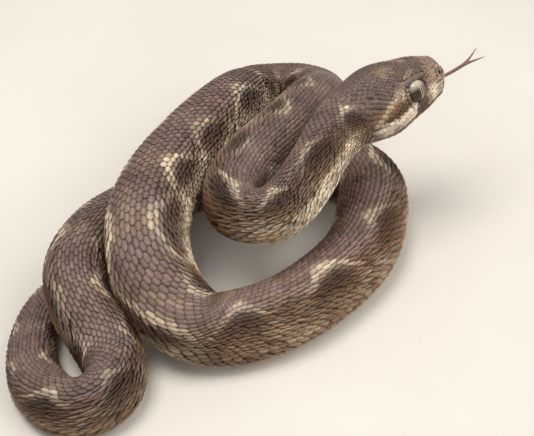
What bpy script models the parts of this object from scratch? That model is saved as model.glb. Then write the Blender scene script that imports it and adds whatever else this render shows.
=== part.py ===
"""A saw-scaled viper, coiled with its head raised, at life size and still, parted into named lengths."""
import math

import bmesh
import bpy
import numpy as np
from mathutils import Vector

MM = 0.001

# The belly's midline from the snout to the tail's tip: x, y and height over the ground, in mm.
ROUTE = [
    (35.8, 20.2, 29.0), (27.4, 16.5, 27.0), (18.9, 12.3, 25.0), (13.2, 6.6, 23.5),
    (9.3, -1.1, 21.8), (4.9, -7.0, 18.5), (-0.4, -9.9, 16.9), (-5.1, -7.9, 16.4),
    (-6.5, -2.5, 16.6), (-4.2, 3.9, 17.1), (0.5, 10.7, 17.3), (5.5, 18.8, 16.1),
    (9.5, 28.5, 12.3), (11.7, 37.5, 6.4), (10.8, 44.6, 2.6), (5.8, 49.8, 0.3),
    (-0.7, 48.8, 0.5), (-4.6, 43.2, 2.8), (-6.4, 36.8, 6.4), (-9.0, 28.3, 10.4),
    (-13.1, 18.7, 12.6),
    (-18.9, 6.4, 13.2), (-22.2, -4.0, 13.2), (-22.8, -13.9, 11.6), (-20.2, -21.1, 6.9),
    (-14.9, -24.6, 2.0), (-6.8, -24.2, 0.0), (2.7, -20.2, 0.0), (11.5, -12.4, 0.0),
    (18.0, -3.6, 0.0), (21.7, 8.6, 0.0), (20.6, 19.5, 0.0), (12.5, 25.0, 0.0),
    (2.0, 23.0, 0.0), (-8.0, 21.3, 0.0), (-17.0, 18.3, 0.0), (-24.9, 13.0, 0.0),
    (-31.1, 4.2, 2.5), (-34.7, -5.8, 6.3), (-36.8, -15.2, 7.0), (-34.1, -24.3, 4.4),
    (-29.3, -31.4, 1.0), (-28.8, -38.0, 0.0), (-34.2, -42.9, 0.0), (-40.7, -39.4, 0.0),
    (-44.0, -32.0, 0.0), (-44.8, -23.2, 0.0), (-43.2, -14.2, 0.0), (-38.6, -7.2, 0.0),
    (-32.0, -4.0, 0.0), (-25.0, -5.5, 0.0), (-19.5, -10.0, 0.0),
]
CENTRE = (-2.733, 3.794)  # the middle of the coil's box on the ground, mm

# How stout the body is: mm from the snout, half width, top and underside over the midline, roundness.
GIRTH = [
    (0.0, 1.3, 6.3, 2.8, 0.80), (0.8, 2.8, 8.0, 1.7, 0.80), (2.4, 3.7, 9.3, 0.6, 0.80),
    (5.0, 4.6, 10.3, -0.4, 0.82), (8.0, 5.5, 10.8, -1.0, 0.82), (11.0, 6.8, 11.2, -1.3, 0.84),
    (14.0, 7.7, 11.2, -1.3, 0.86), (17.0, 7.6, 10.8, -1.0, 0.90), (20.5, 6.8, 10.2, -0.4, 0.96),
    (26.0, 5.9, 9.9, 0.0, 1.0), (42.0, 5.7, 10.1, 0.0, 1.0), (66.0, 5.9, 10.8, 0.0, 1.0),
    (96.0, 6.1, 11.6, 0.0, 1.0), (130.0, 6.4, 12.4, 0.0, 1.0), (163.0, 7.7, 13.2, 0.0, 1.0),
    (193.0, 8.2, 13.9, 0.0, 1.0), (223.0, 7.6, 12.9, 0.0, 1.0), (263.0, 7.4, 12.3, 0.0, 1.0),
    (313.0, 7.1, 11.3, 0.0, 1.0), (345.0, 6.1, 10.9, 0.0, 1.0), (378.0, 6.2, 11.0, 0.0, 1.0),
    (403.0, 5.7, 9.7, 0.0, 1.0), (423.0, 4.5, 6.6, 0.0, 1.0), (439.0, 3.0, 4.6, 0.0, 1.0),
    (453.0, 1.1, 1.9, 0.0, 1.0),
]
WIDEST = 0.45  # the level of the widest point, as a share of the height
SOLE = 1.12  # over 1 makes a flat belly
SOLE_CURVE = 0.6

SIDES = 24
LIP = 7  # how many sides down from the back the mouth opens
RING_STEP = 3.8  # mm between rings
GAP = 0.3  # mm between neighbouring lengths
FLAT = 0.005  # mm over the ground that still counts as the flat of the belly

TABLE_STEP = 0.25  # mm between the stations where the outline is worked out
BEND_REACH = 12  # stations each way over which a bend is evened
FREE_BEND = 0.35  # share of a bend's radius that the inside fills before it is squeezed
BEND_ROOM = 0.40  # share of the radius that is left for the squeezed part
EASED_FROM = 0.5  # stretch at which easing starts
EASED_FULLY = 0.1
EASE_REACH = 40
EASE_SOFT = 18.0

MOUTH_CORNER = 17.2
NECK_END = 45.0
VENT = 408.0
TRUNK_LENGTHS = 13
TAIL_LENGTHS = 2

EYE_STATION = 7.7
EYE_SIDE = 3.45
EYE_HEIGHT = 6.65
EYE_RADIUS = 2.4
TONGUE_HEIGHT = 3.3
TONGUE_RADIUS = 0.38

COLLECTION = "coiled_snake"


def spline(knots, values, at):
    """Natural cubic spline through rows of values at the knots."""
    knots = np.asarray(knots, float)
    values = np.asarray(values, float)
    at = np.asarray(at, float)
    count = len(knots)
    span = np.diff(knots)
    matrix = np.zeros((count, count))
    right = np.zeros(values.shape)
    matrix[0, 0] = matrix[-1, -1] = 1
    for i in range(1, count - 1):
        matrix[i, i - 1:i + 2] = span[i - 1], 2 * (span[i - 1] + span[i]), span[i]
        slope_before = (values[i] - values[i - 1]) / span[i - 1]
        slope_after = (values[i + 1] - values[i]) / span[i]
        right[i] = 6 * (slope_after - slope_before)
    bend = np.linalg.solve(matrix, right)
    i = np.clip(np.searchsorted(knots, at, side="right") - 1, 0, count - 2)
    after = (at - knots[i])[:, None]
    before = (knots[i + 1] - at)[:, None]
    width = span[i][:, None]
    curve = (bend[i] * before**3 + bend[i + 1] * after**3) / (6 * width)
    start = (values[i] / width - bend[i] * width / 6) * before
    return curve + start + (values[i + 1] / width - bend[i + 1] * width / 6) * after


class Body:
    """The midline measured out in mm from the snout, with the section round it."""

    def __init__(self):
        points = np.array(ROUTE) - (*CENTRE, 0)
        chord = np.concatenate([[0], np.cumsum(np.linalg.norm(np.diff(points, axis=0), axis=1))])
        line = spline(chord, points, np.linspace(0, chord[-1], 8000))
        line[:, 2] = np.maximum(line[:, 2], 0)
        self.line = line
        steps = np.linalg.norm(np.diff(line, axis=0), axis=1)
        self.run = np.concatenate([[0], np.cumsum(steps)])
        self.length = self.run[-1]
        self.stations = np.append(np.arange(0, self.length, TABLE_STEP), self.length)
        self.outline = self.eased(*self.sections(self.stations))
        height = self.outline[..., 2]
        height[height < FLAT] = 0.0

    def sole(self, s):
        """Points on the belly's midline."""
        return np.stack([np.interp(s, self.run, self.line[:, axis]) for axis in range(3)], -1)

    def frames(self, s):
        """Points, forward, right and up at several stations."""
        forth = self.sole(s + 0.5) - self.sole(s - 0.5)
        forth /= np.linalg.norm(forth, axis=1)[:, None]
        right = -np.cross(forth, (0, 0, 1))
        right /= np.linalg.norm(right, axis=1)[:, None]
        return self.sole(s), forth, right, np.cross(right, -forth)

    def frame(self, s):
        """Point, forward, right and up at one station."""
        return [Vector(row[0]) for row in self.frames(np.array([s]))]

    def sections(self, s):
        """The section's outline at each station, clockwise from the back as seen from the tail, and forward there."""
        sole, forth, right, up = self.frames(s)
        table = np.array(GIRTH)
        size = spline(table[:, 0], table[:, 1:], np.minimum(s, table[-1, 0]))
        half, top, under, round_ = (column[:, None] for column in size.T)
        middle = under + WIDEST * (top - under)
        angle = 2 * math.pi * np.arange(SIDES) / SIDES
        out, rise = np.sin(angle), np.cos(angle)
        x = half * np.sign(out) * np.abs(out) ** round_
        over = middle + (top - middle) * np.clip(rise, 0, 1) ** round_
        below = middle - (middle - under) * np.minimum(1, SOLE * np.clip(-rise, 0, 1)) ** SOLE_CURVE
        z = np.where(rise >= 0, over, below)
        x = drawn_in(x, bend_of(s, forth, right)[:, None])
        return sole[:, None] + right[:, None] * x[..., None] + up[:, None] * z[..., None], forth

    def eased(self, outline, forth):
        """The outline with the creases that are left inside tight bends filled by their neighbours."""
        stretch = np.sum(np.gradient(outline, self.stations, axis=0) * forth[:, None], -1)
        tight = np.clip((EASED_FROM - stretch) / (EASED_FROM - EASED_FULLY), 0, 1)
        tight = tight**2 * (3 - 2 * tight)
        reach = np.arange(-EASE_REACH, EASE_REACH + 1)
        weight = np.exp(-((reach / EASE_SOFT) ** 2))
        weight /= weight.sum()
        rows = np.clip(np.arange(len(self.stations))[:, None] + reach, 0, len(self.stations) - 1)
        spread = np.einsum("k,ikj->ij", weight, tight[rows].max(axis=1)[rows])
        softened = np.einsum("k,ikjc->ijc", weight, outline[rows])
        return outline * (1 - spread[..., None]) + softened * spread[..., None]

    def ring(self, s, shift=0.0):
        """The eased outline at one station, moved a little along the body."""
        _, along, _, _ = self.frame(s)
        near = min(int(s / TABLE_STEP), len(self.stations) - 2)
        share = (s - self.stations[near]) / (self.stations[near + 1] - self.stations[near])
        points = self.outline[near] * (1 - share) + self.outline[near + 1] * share
        moved = [Vector(point) + along * shift for point in points]
        return [Vector((x, y, max(z, 0))) for x, y, z in moved]


def bend_of(s, forth, right):
    """How sharply the body bends toward its right at each station, per mm, evened over a few mm."""
    bend = np.sum(np.gradient(forth, s, axis=0) * right, -1)
    reach = np.arange(-BEND_REACH, BEND_REACH + 1)
    rows = np.clip(np.arange(len(s))[:, None] + reach, 0, len(s) - 1)
    return bend[rows].mean(axis=1)


def drawn_in(x, bend):
    """Sideways places drawn in on the inside of a bend, where flesh is squeezed."""
    over = np.maximum(x * bend - FREE_BEND, 0)
    squeezed = over - BEND_ROOM * np.tanh(over / BEND_ROOM)
    return x - squeezed / np.where(np.abs(bend) < 1e-6, 1, bend)


def material(name, color, roughness):
    made = bpy.data.materials.new(name)
    made.use_nodes = True
    shader = made.node_tree.nodes["Principled BSDF"]
    shader.inputs["Base Color"].default_value = (*color, 1)
    shader.inputs["Roughness"].default_value = roughness
    return made


def collection(name):
    made = bpy.data.collections.new(name)
    bpy.context.scene.collection.children.link(made)
    return made


def add(name, shape, into, finish=None):
    """An object made from a bmesh in mm, its faces pointing out."""
    bmesh.ops.scale(shape, vec=(MM, MM, MM), verts=shape.verts)
    bmesh.ops.recalc_face_normals(shape, faces=shape.faces)
    mesh = bpy.data.meshes.new(name)
    shape.to_mesh(mesh)
    shape.free()
    made = bpy.data.objects.new(name, mesh)
    into.objects.link(made)
    if finish:
        mesh.materials.append(finish)
    return made


def loft(rings):
    """A closed skin over rings of like count."""
    shape = bmesh.new()
    rows = [[shape.verts.new(point) for point in ring] for ring in rings]
    for near, far in zip(rows, rows[1:]):
        for k in range(len(near)):
            after = (k + 1) % len(near)
            shape.faces.new((near[k], near[after], far[after], far[k]))
    shape.faces.new(rows[0])
    shape.faces.new(rows[-1])
    return shape


def stations(start, end, step=RING_STEP):
    count = max(2, round((end - start) / step) + 1)
    return np.linspace(start, end, count)


def length(body, start, end):
    """One length of the body, held back by half a gap at each end."""
    rings = []
    for s in stations(start, end):
        shift = GAP / 2 * ((s == start) * -1 + (s == end))
        rings.append(body.ring(s, -shift if s in (start, end) else 0))
    return loft(rings)


def add_lengths(body, name, start, end, count, into, finish):
    """A stretch of the body as several lengths, numbered from the head."""
    cuts = np.linspace(start, end, count + 1)
    for i, (near, far) in enumerate(zip(cuts, cuts[1:])):
        add(f"{name}_{i + 1:02d}", length(body, near, far), into, finish)


def add_head(body, into, cutters, finish):
    """The upper head down to the lip and back to the corner of the mouth, with a socket for each eye."""
    rings = []
    for s in (0, 0.35, 0.9, 1.8, 3.2, 5, 7, 9, 11, 13, 15, MOUTH_CORNER):
        around = body.ring(s, GAP / 2 if s == MOUTH_CORNER else 0)
        lift = body.frame(s)[3] * GAP / 2
        upper = around[-LIP:] + around[:LIP + 1]
        upper[0], upper[-1] = upper[0] + lift, upper[-1] + lift
        rings.append(upper)
    head = add("head", loft(rings), into, finish)
    for side in (-1, 1):
        socket = ball(eye_centre(body, side), EYE_RADIUS + GAP)
        carve(head, add(f"socket_cutter_{side + 2}", socket, cutters))
    groove = tube([tongue_point(body, t) for t in (-3.0, 0.6)], [TONGUE_RADIUS + GAP] * 2)
    carve(head, add("tongue_groove_cutter", groove, cutters))


def add_jaw(body, into, cutters, finish):
    """The lower jaw, from the chin to the corner of the mouth."""
    rings = []
    for s in (0.9, 1.8, 3.2, 5, 7, 9, 11, 13, 15, MOUTH_CORNER):
        around = body.ring(s, GAP / 2 if s == MOUTH_CORNER else 0)
        drop = body.frame(s)[3] * -GAP / 2
        lower = around[LIP:SIDES - LIP + 1]
        lower[0], lower[-1] = lower[0] + drop, lower[-1] + drop
        rings.append(lower)
    jaw = add("lower_jaw", loft(rings), into, finish)
    groove = tube([tongue_point(body, t) for t in (-3.0, 0.6)], [TONGUE_RADIUS + GAP] * 2)
    carve(jaw, add("chin_groove_cutter", groove, cutters))


def carve(target, cutter):
    """Cuts one object's shape out of another and keeps the cutter as a hidden wire."""
    cutter.hide_render = True
    cutter.display_type = "WIRE"
    cut = target.modifiers.new(cutter.name, "BOOLEAN")
    cut.operation = "DIFFERENCE"
    cut.object = cutter
    cut.solver = "EXACT"


def ball(centre, radius):
    shape = bmesh.new()
    bmesh.ops.create_uvsphere(shape, u_segments=20, v_segments=12, radius=radius)
    bmesh.ops.translate(shape, vec=centre, verts=shape.verts)
    return shape


def eye_centre(body, side):
    point, _, right, up = body.frame(EYE_STATION)
    return point + right * (side * EYE_SIDE) + up * EYE_HEIGHT


def tongue_point(body, t, side=0.0, rise=0.0):
    """A point t mm in front of the snout, level with the lips."""
    point, along, right, up = body.frame(0)
    return point - along * t + right * side + up * (TONGUE_HEIGHT + rise)


def tube(points, radii, sides=8):
    """A round tube through a few points."""
    rings = []
    for i, point in enumerate(points):
        along = (points[min(i + 1, len(points) - 1)] - points[max(i - 1, 0)]).normalized()
        across = along.cross(Vector((0, 0, 1))).normalized()
        over = across.cross(along)
        turn = [2 * math.pi * k / sides for k in range(sides)]
        rings.append([point + (across * math.cos(a) + over * math.sin(a)) * radii[i] for a in turn])
    return loft(rings)


def add_tongue(body, into, finish):
    """The tongue put out past the lip, curling up and forked at its tip."""
    stem = [tongue_point(body, t, rise=0.02 * max(t, 0) ** 2) for t in (-2.2, 0, 2, 4, 5.5)]
    tongue = add("tongue", tube(stem, [TONGUE_RADIUS] * 5), into, finish)
    for side in (-1, 1):
        reach = [(4.8, 0), (6.2, 0.35), (7.6, 0.9), (9.2, 1.7)]
        tine = [tongue_point(body, t, side * out, 0.02 * t**2) for t, out in reach]
        fork = add(f"tine_{side + 2}", tube(tine, [0.36, 0.34, 0.3, 0.26]), into, finish)
        join(tongue, fork)


def join(target, extra):
    """Unites a piece with its target for good."""
    unite = target.modifiers.new(extra.name, "BOOLEAN")
    unite.operation = "UNION"
    unite.object = extra
    unite.solver = "EXACT"
    bpy.context.view_layer.update()
    graph = bpy.context.evaluated_depsgraph_get()
    united = bpy.data.meshes.new_from_object(target.evaluated_get(graph))
    target.modifiers.clear()
    target.data = united
    bpy.data.objects.remove(extra)


def build():
    for old in list(bpy.data.objects):
        bpy.data.objects.remove(old)
    body = Body()
    skin = material("scaled skin", (0.20, 0.15, 0.12), 0.6)
    cornea = material("eye", (0.12, 0.12, 0.09), 0.1)
    flesh = material("tongue flesh", (0.30, 0.14, 0.13), 0.5)
    snake, cutters = collection(COLLECTION), collection("cutters")
    add_head(body, snake, cutters, skin)
    add_jaw(body, snake, cutters, skin)
    for name, side in (("eye_left", -1), ("eye_right", 1)):
        add(name, ball(eye_centre(body, side), EYE_RADIUS), snake, cornea)
    add_tongue(body, snake, flesh)
    add("neck", length(body, MOUTH_CORNER, NECK_END), snake, skin)
    add_lengths(body, "trunk", NECK_END, VENT, TRUNK_LENGTHS, snake, skin)
    add_lengths(body, "tail", VENT, body.length, TAIL_LENGTHS, snake, skin)
    return body


build()
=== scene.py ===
"""A saw-scaled viper in its coils: skin, overlapping scales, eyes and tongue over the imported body."""
import math

import bpy
import numpy as np
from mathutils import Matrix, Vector

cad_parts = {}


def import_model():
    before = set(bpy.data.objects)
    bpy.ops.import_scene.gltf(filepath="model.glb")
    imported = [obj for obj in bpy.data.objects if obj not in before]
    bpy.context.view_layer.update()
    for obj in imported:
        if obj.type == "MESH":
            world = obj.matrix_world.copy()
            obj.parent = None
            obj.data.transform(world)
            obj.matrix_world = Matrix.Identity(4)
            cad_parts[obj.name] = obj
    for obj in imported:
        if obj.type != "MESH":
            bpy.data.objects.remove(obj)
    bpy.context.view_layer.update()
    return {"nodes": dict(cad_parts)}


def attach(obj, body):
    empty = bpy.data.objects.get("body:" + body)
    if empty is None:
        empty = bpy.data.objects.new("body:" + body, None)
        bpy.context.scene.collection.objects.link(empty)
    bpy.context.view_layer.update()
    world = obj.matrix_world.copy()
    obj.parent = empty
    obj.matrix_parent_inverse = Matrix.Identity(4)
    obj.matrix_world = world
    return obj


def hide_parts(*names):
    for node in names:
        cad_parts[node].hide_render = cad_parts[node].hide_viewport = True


MM = 0.001

# The belly's midline from the snout to the tail's tip: x, y and height over the ground, in mm.
ROUTE = [
    (35.8, 20.2, 29), (27.4, 16.5, 27), (18.9, 12.3, 25), (13.2, 6.6, 23.5),
    (9.3, -1.1, 21.8), (4.9, -7, 18.5), (-0.4, -9.9, 16.9), (-5.1, -7.9, 16.4),
    (-6.5, -2.5, 16.6), (-4.2, 3.9, 17.1), (0.5, 10.7, 17.3), (5.5, 18.8, 16.1),
    (9.5, 28.5, 12.3), (11.7, 37.5, 6.4), (10.8, 44.6, 2.6), (5.8, 49.8, 0.3),
    (-0.7, 48.8, 0.5), (-4.6, 43.2, 2.8), (-6.4, 36.8, 6.4), (-9, 28.3, 10.4),
    (-13.1, 18.7, 12.6),
    (-18.9, 6.4, 13.2), (-22.2, -4, 13.2), (-22.8, -13.9, 11.6), (-20.2, -21.1, 6.9),
    (-14.9, -24.6, 2), (-6.8, -24.2, 0), (2.7, -20.2, 0), (11.5, -12.4, 0),
    (18, -3.6, 0), (21.7, 8.6, 0), (20.6, 19.5, 0), (12.5, 25, 0),
    (2, 23, 0), (-8, 21.3, 0), (-17, 18.3, 0), (-24.9, 13, 0),
    (-31.1, 4.2, 2.5), (-34.7, -5.8, 6.3), (-36.8, -15.2, 7), (-34.1, -24.3, 4.4),
    (-29.3, -31.4, 1), (-28.8, -38, 0), (-34.2, -42.9, 0), (-40.7, -39.4, 0),
    (-44, -32, 0), (-44.8, -23.2, 0), (-43.2, -14.2, 0), (-38.6, -7.2, 0),
    (-32, -4, 0), (-25, -5.5, 0), (-19.5, -10, 0),
]
CENTRE = (-2.733, 3.794)  # the middle of the coils' box in the route's x and y

# How stout the body is: mm from the snout, half width, top and underside over the midline, roundness.
GIRTH = [
    (0, 1.3, 6.3, 2.8, 0.80), (0.8, 2.8, 8, 1.7, 0.80), (2.4, 3.7, 9.3, 0.6, 0.80),
    (5, 4.6, 10.3, -0.4, 0.82), (8, 5.5, 10.8, -1, 0.82), (11, 6.8, 11.2, -1.3, 0.84),
    (14, 7.7, 11.2, -1.3, 0.86), (17, 7.6, 10.8, -1, 0.90), (20.5, 6.8, 10.2, -0.4, 0.96),
    (26, 5.9, 9.9, 0, 1), (42, 5.7, 10.1, 0, 1), (66, 5.9, 10.8, 0, 1),
    (96, 6.1, 11.6, 0, 1), (130, 6.4, 12.4, 0, 1), (163, 7.7, 13.2, 0, 1),
    (193, 8.2, 13.9, 0, 1), (223, 7.6, 12.9, 0, 1), (263, 7.4, 12.3, 0, 1),
    (313, 7.1, 11.3, 0, 1), (345, 6.1, 10.9, 0, 1), (378, 6.2, 11, 0, 1),
    (403, 5.7, 9.7, 0, 1), (423, 4.5, 6.6, 0, 1), (439, 3, 4.6, 0, 1),
    (453, 1.1, 1.9, 0, 1),
]
WIDEST = 0.45  # share of its height at which the body is widest
SOLE = 1.12  # above 1, the underside is flat
SOLE_CURVE = 0.6  # below 1, the flanks turn under sharply
TIP_LONG = 13.0  # mm at the end of the tail that taper more than the table says
TIP_TAPER = 0.62  # share of the girth lost there
BEND_REACH = 12  # stations to each side over which a bend is evened
FREE_BEND = 0.35  # share of a bend's radius that its inner side fills unsqueezed
BEND_ROOM = 0.40  # the further share that it comes near, however stout
EASED_FROM = 0.5  # creases begin to be eased where the skin is squeezed to this share of its length
EASED_FULLY = 0.1  # and are eased fully at this one
EASE_REACH = 40  # stations to each side that ease a crease
EASE_SOFT = 18.0  # stations over which their weight falls off

LIP = 105.0  # degrees from the back to the mouth's line
MOUTH_CORNER = 17.2  # mm from the snout
EYE_STATION = 7.7  # mm from the snout
EYE_SIDE = 3.45  # mm to the side of the midline
EYE_HEIGHT = 6.65  # mm over the midline
EYE_RADIUS = 2.4  # mm
NOSTRIL = (1.35, 50.0)  # mm from the snout, degrees from the back
TONGUE_HEIGHT = 3.3  # mm over the midline
HEAD_REACH = 26.0  # mm from the snout to behind the jaws
END_ARC = 1.3  # mm of hide that close over the snout and over the tail's tip
END_BULGE = 0.5  # mm by which each closed end bulges

# Swellings and hollows of the head: mm high, mm from the snout, mm long, degrees from the back, wide.
BROW_RIDGE = (0.26, 6.6, 2.6, 38, 8)
CHEEK = (0.16, 13.5, 2.6, 78, 20)
LORE = (-0.22, 4.2, 1.5, 66, 14)
CROWN = (-0.15, 8.5, 4.5, 0, 12)

# Depth of the coat of scales under the body's outline: mm from the snout, mm deep.
COAT = [(0, 0.24), (6, 0.28), (14, 0.34), (30, 0.42), (60, 0.46), (400, 0.46), (430, 0.36), (467, 0.22)]

# How far the back is rolled over, in degrees, along the body.
ROLL = [
    (0, 0), (14, -2), (22, -22), (30, -46), (38, -58), (47, -44), (56, -33), (66, -42), (80, -42),
    (96, -34), (116, -20), (140, -14), (165, -19), (190, -23), (203, -26), (211, -20), (219, 6), (227, 26),
    (246, 32), (268, 32), (290, 18), (320, 0), (360, 0), (378, -6), (394, -28), (404, -18),
    (416, 14), (430, 10), (467, 0),
]

# Stations of the pale flank arcs.
ARCS = [
    23.0, 34.5, 45.5, 57.0, 69.0, 80.5, 92.0, 104.0, 117.0, 130.0, 143.5, 157.5, 172.5, 186.0, 198.5,
    211.0, 226.5, 246.5, 265.0, 283.0, 298.0, 312.0, 326.0, 340.0, 352.5, 362.0, 371.5, 381.5, 394.0,
    404.0, 414.0, 424.0, 434.0, 443.0, 451.0, 458.5,
]


def tone(red, green, blue):
    """A display colour, 0 to 255, as linear light."""
    value = np.array([red, green, blue], float) / 255
    return np.where(value <= 0.04045, value / 12.92, ((value + 0.055) / 1.055) ** 2.4)


TAUPE = tone(126, 103, 93)
PLUM = tone(122, 102, 100)
UMBER = tone(112, 86, 68)
# The flank brown is partly the flanks' own colour, and partly painted shade and warm bounce light.
FLANK = tone(84, 53, 29)
DARK = tone(80, 56, 41)
DARKER = tone(56, 36, 23)
CREAM = tone(214, 195, 166)
BUFF = tone(156, 132, 110)
WHITE = tone(234, 218, 198)
PINK = tone(160, 134, 117)
# The sandy brown is darkened partly as painted shade for the lower flanks; the cheek and the lower lip use
# it too.
SAND = tone(116, 78, 44)
SLATE = tone(96, 79, 70)
FLESH = tone(34, 24, 19)
# Near-black painted shade inside the nostrils.
NOSTRIL_SHADE = tone(14, 9, 7)


def spline(knots, values, at):
    """Natural cubic spline through rows of values at the knots."""
    count, span = len(knots), np.diff(knots)
    slope = np.diff(values, axis=0) / span[:, None]
    matrix = np.eye(count)
    for i in range(1, count - 1):
        matrix[i, i - 1:i + 2] = span[i - 1], 2 * (span[i - 1] + span[i]), span[i]
    right = np.zeros(values.shape)
    right[1:-1] = 6 * np.diff(slope, axis=0)
    bend = np.linalg.solve(matrix, right)
    i = np.clip(np.searchsorted(knots, at, side="right") - 1, 0, count - 2)
    after = (at - knots[i])[:, None]
    before = (knots[i + 1] - at)[:, None]
    width = span[i][:, None]
    curve = (bend[i] * before**3 + bend[i + 1] * after**3) / (6 * width)
    start = (values[i] / width - bend[i] * width / 6) * before
    return curve + start + (values[i + 1] / width - bend[i + 1] * width / 6) * after


def smooth(value, low, high):
    """0 below low, 1 above high, eased between."""
    t = np.clip((np.asarray(value, float) - low) / (high - low), 0, 1)
    return t * t * (3 - 2 * t)


def hump(value, width):
    """A bell of height 1 at 0, that falls to about a third at the width."""
    return np.exp(-(np.asarray(value, float) / width) ** 2)


def along(table, s):
    """A table's value at stations along the body."""
    rows = np.array(table, float)
    return np.interp(s, rows[:, 0], rows[:, 1])


def wrapped(turn):
    """Angles brought into the range from -180 to 180 degrees."""
    return np.mod(turn + 180, 360) - 180


def gap(points, centre):
    """How far points lie from a centre."""
    return np.linalg.norm(points - centre, axis=-1)


def run_of(points):
    """How far along a line of points each of them lies."""
    return np.append(0, np.cumsum(gap(points[1:], points[:-1])))


def unit(vectors):
    """Vectors brought to length 1."""
    return vectors / np.maximum(np.linalg.norm(vectors, axis=-1, keepdims=True), 1e-9)


class Hide:
    """The body's surface under its scales, read at any station and any angle from the back.

    sole is the midline's points, forth, right and up the directions at each, and core the middle of the
    flesh. outer is the body's outline, points the skin, normal its direction outward, arc how many mm one
    degree takes up, and reach how many mm lie between the back and each angle.
    """

    STEP = 0.25  # mm from station to station
    TURN = 2.0  # degrees from point to point of a section

    def __init__(self):
        points = np.array(ROUTE) - (*CENTRE, 0)
        knots = run_of(points)
        line = spline(knots, points, np.linspace(0, knots[-1], 8000))
        line[:, 2] = np.maximum(line[:, 2], 0)
        run = run_of(line)
        self.length = run[-1]
        self.s = np.append(np.arange(0, self.length, self.STEP), self.length)
        behind, self.sole, ahead = (
            np.stack([np.interp(self.s + shift, run, line[:, k]) for k in range(3)], -1)
            for shift in (-0.5, 0, 0.5)
        )
        self.forth = unit(ahead - behind)
        self.right = -unit(np.cross(self.forth, (0, 0, 1)))
        self.up = np.cross(self.right, -self.forth)
        turn = np.arange(0, 360 + self.TURN, self.TURN)
        self.outer = outline = self.eased(self.outline(turn))
        round_body = np.gradient(outline, axis=1)
        down_body = np.gradient(outline, self.s, axis=0)
        flat = np.cross(self.forth[:, None], round_body)
        full = np.cross(down_body, round_body)
        head = smooth(self.s, 34, 22)[:, None, None]
        normal = unit(unit(full) * head + unit(flat) * (1 - head))
        normal *= np.sign(np.sum(normal * (outline - self.core[:, None]), -1, keepdims=True))
        normal[:, 0] = normal[:, -1] = unit(normal[:, 1] + normal[:, -2])
        self.normal = normal
        depth = along(COAT, self.s)[:, None] - self.relief(self.s[:, None], np.minimum(turn, 360 - turn))
        self.points = outline - normal * depth[..., None]
        self.arc = np.linalg.norm(np.gradient(outline, self.TURN, axis=1), axis=-1)
        self.reach = np.cumsum(self.arc * self.TURN, 1) - self.arc * self.TURN

    def outline(self, turn):
        """The body's sections, before its skin is folded and before the coat's depth is taken off."""
        table = np.array(GIRTH)
        girth = spline(table[:, 0], table[:, 1:], np.minimum(self.s, table[-1, 0]))
        half, top, under, power = (row[:, None] for row in girth.T)
        self.core = self.sole + self.up * (under + WIDEST * (top - under))
        taper = 1 - TIP_TAPER * smooth(self.s, self.length - TIP_LONG, self.length)[:, None]
        half, top, under = half * taper, top * taper, under * taper
        angle = np.radians(turn)[None]
        out, rise = np.sin(angle), np.cos(angle)
        middle = under + WIDEST * (top - under)
        x = half * np.sign(out) * np.abs(out) ** power
        over = middle + (top - middle) * np.clip(rise, 0, 1) ** power
        below = middle - (middle - under) * np.minimum(1, SOLE * np.clip(-rise, 0, 1)) ** SOLE_CURVE
        z = np.where(rise >= 0, over, below)
        x = self.drawn_in(x, self.bend()[:, None])
        return self.sole[:, None] + self.right[:, None] * x[..., None] + self.up[:, None] * z[..., None]

    def around(self, reach):
        """For each station, the numbers of those up to reach before and after it."""
        rows = np.arange(len(self.s))[:, None] + np.arange(-reach, reach + 1)
        return np.clip(rows, 0, len(self.s) - 1)

    def bend(self):
        """How sharply the body bends toward its right, per mm, evened over a few mm."""
        bend = np.sum(np.gradient(self.forth, self.s, axis=0) * self.right, -1)
        return bend[self.around(BEND_REACH)].mean(axis=1)

    def drawn_in(self, x, bend):
        """Sideways places drawn in on the inside of a bend, where flesh is squeezed."""
        over = np.maximum(x * bend - FREE_BEND, 0)
        squeezed = over - BEND_ROOM * np.tanh(over / BEND_ROOM)
        return x - squeezed / np.where(np.abs(bend) < 1e-6, 1, bend)

    def eased(self, outline):
        """The outline with the creases that are left inside tight bends filled by their neighbours."""
        stretch = np.sum(np.gradient(outline, self.s, axis=0) * self.forth[:, None], -1)
        tight = smooth(stretch, EASED_FROM, EASED_FULLY)
        weight = hump(np.arange(-EASE_REACH, EASE_REACH + 1), EASE_SOFT)
        weight /= weight.sum()
        rows = self.around(EASE_REACH)
        spread = np.einsum("k,ikj->ij", weight, tight[rows].max(axis=1)[rows])
        softened = np.einsum("k,ikjc->ijc", weight, outline[rows])
        return outline * (1 - spread[..., None]) + softened * spread[..., None]

    def relief(self, s, side):
        """Folds and swellings of the head, in mm."""
        mouth = -0.42 * hump(side - LIP, 2.6) * smooth(s, MOUTH_CORNER + 0.8, MOUTH_CORNER - 1.5)
        chin = -0.45 * smooth(side, LIP, LIP + 4) * smooth(s, 1.5, 0.7)
        made = mouth + chin
        for high, station, long, angle, wide in (BROW_RIDGE, CHEEK, LORE, CROWN):
            made = made + high * hump(s - station, long) * hump(side - angle, wide)
        for sign in (-1, 1):
            made = made - 0.28 * hump(gap(self.outer, self.eye(sign)) - EYE_RADIUS - 0.15, 0.35)
            pit = gap(self.outer, self.nostril(sign))
            made = made - 0.75 * hump(pit, 0.34) + 0.12 * hump(pit - 0.62, 0.25)
        return made

    def frame(self, s):
        """The midline's point at a station, and the directions back along it, right and up."""
        i = int(round(s / self.STEP))
        return self.sole[i], self.forth[i], self.right[i], self.up[i]

    def eye(self, side):
        """The middle of an eye: side is -1 for the left and 1 for the right."""
        point, _, right, up = self.frame(EYE_STATION)
        return point + right * (side * EYE_SIDE) + up * EYE_HEIGHT

    def nostril(self, side):
        """The place of a nostril."""
        station, turn = NOSTRIL
        return self.read(self.outer, station, np.array(side * turn))

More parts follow.
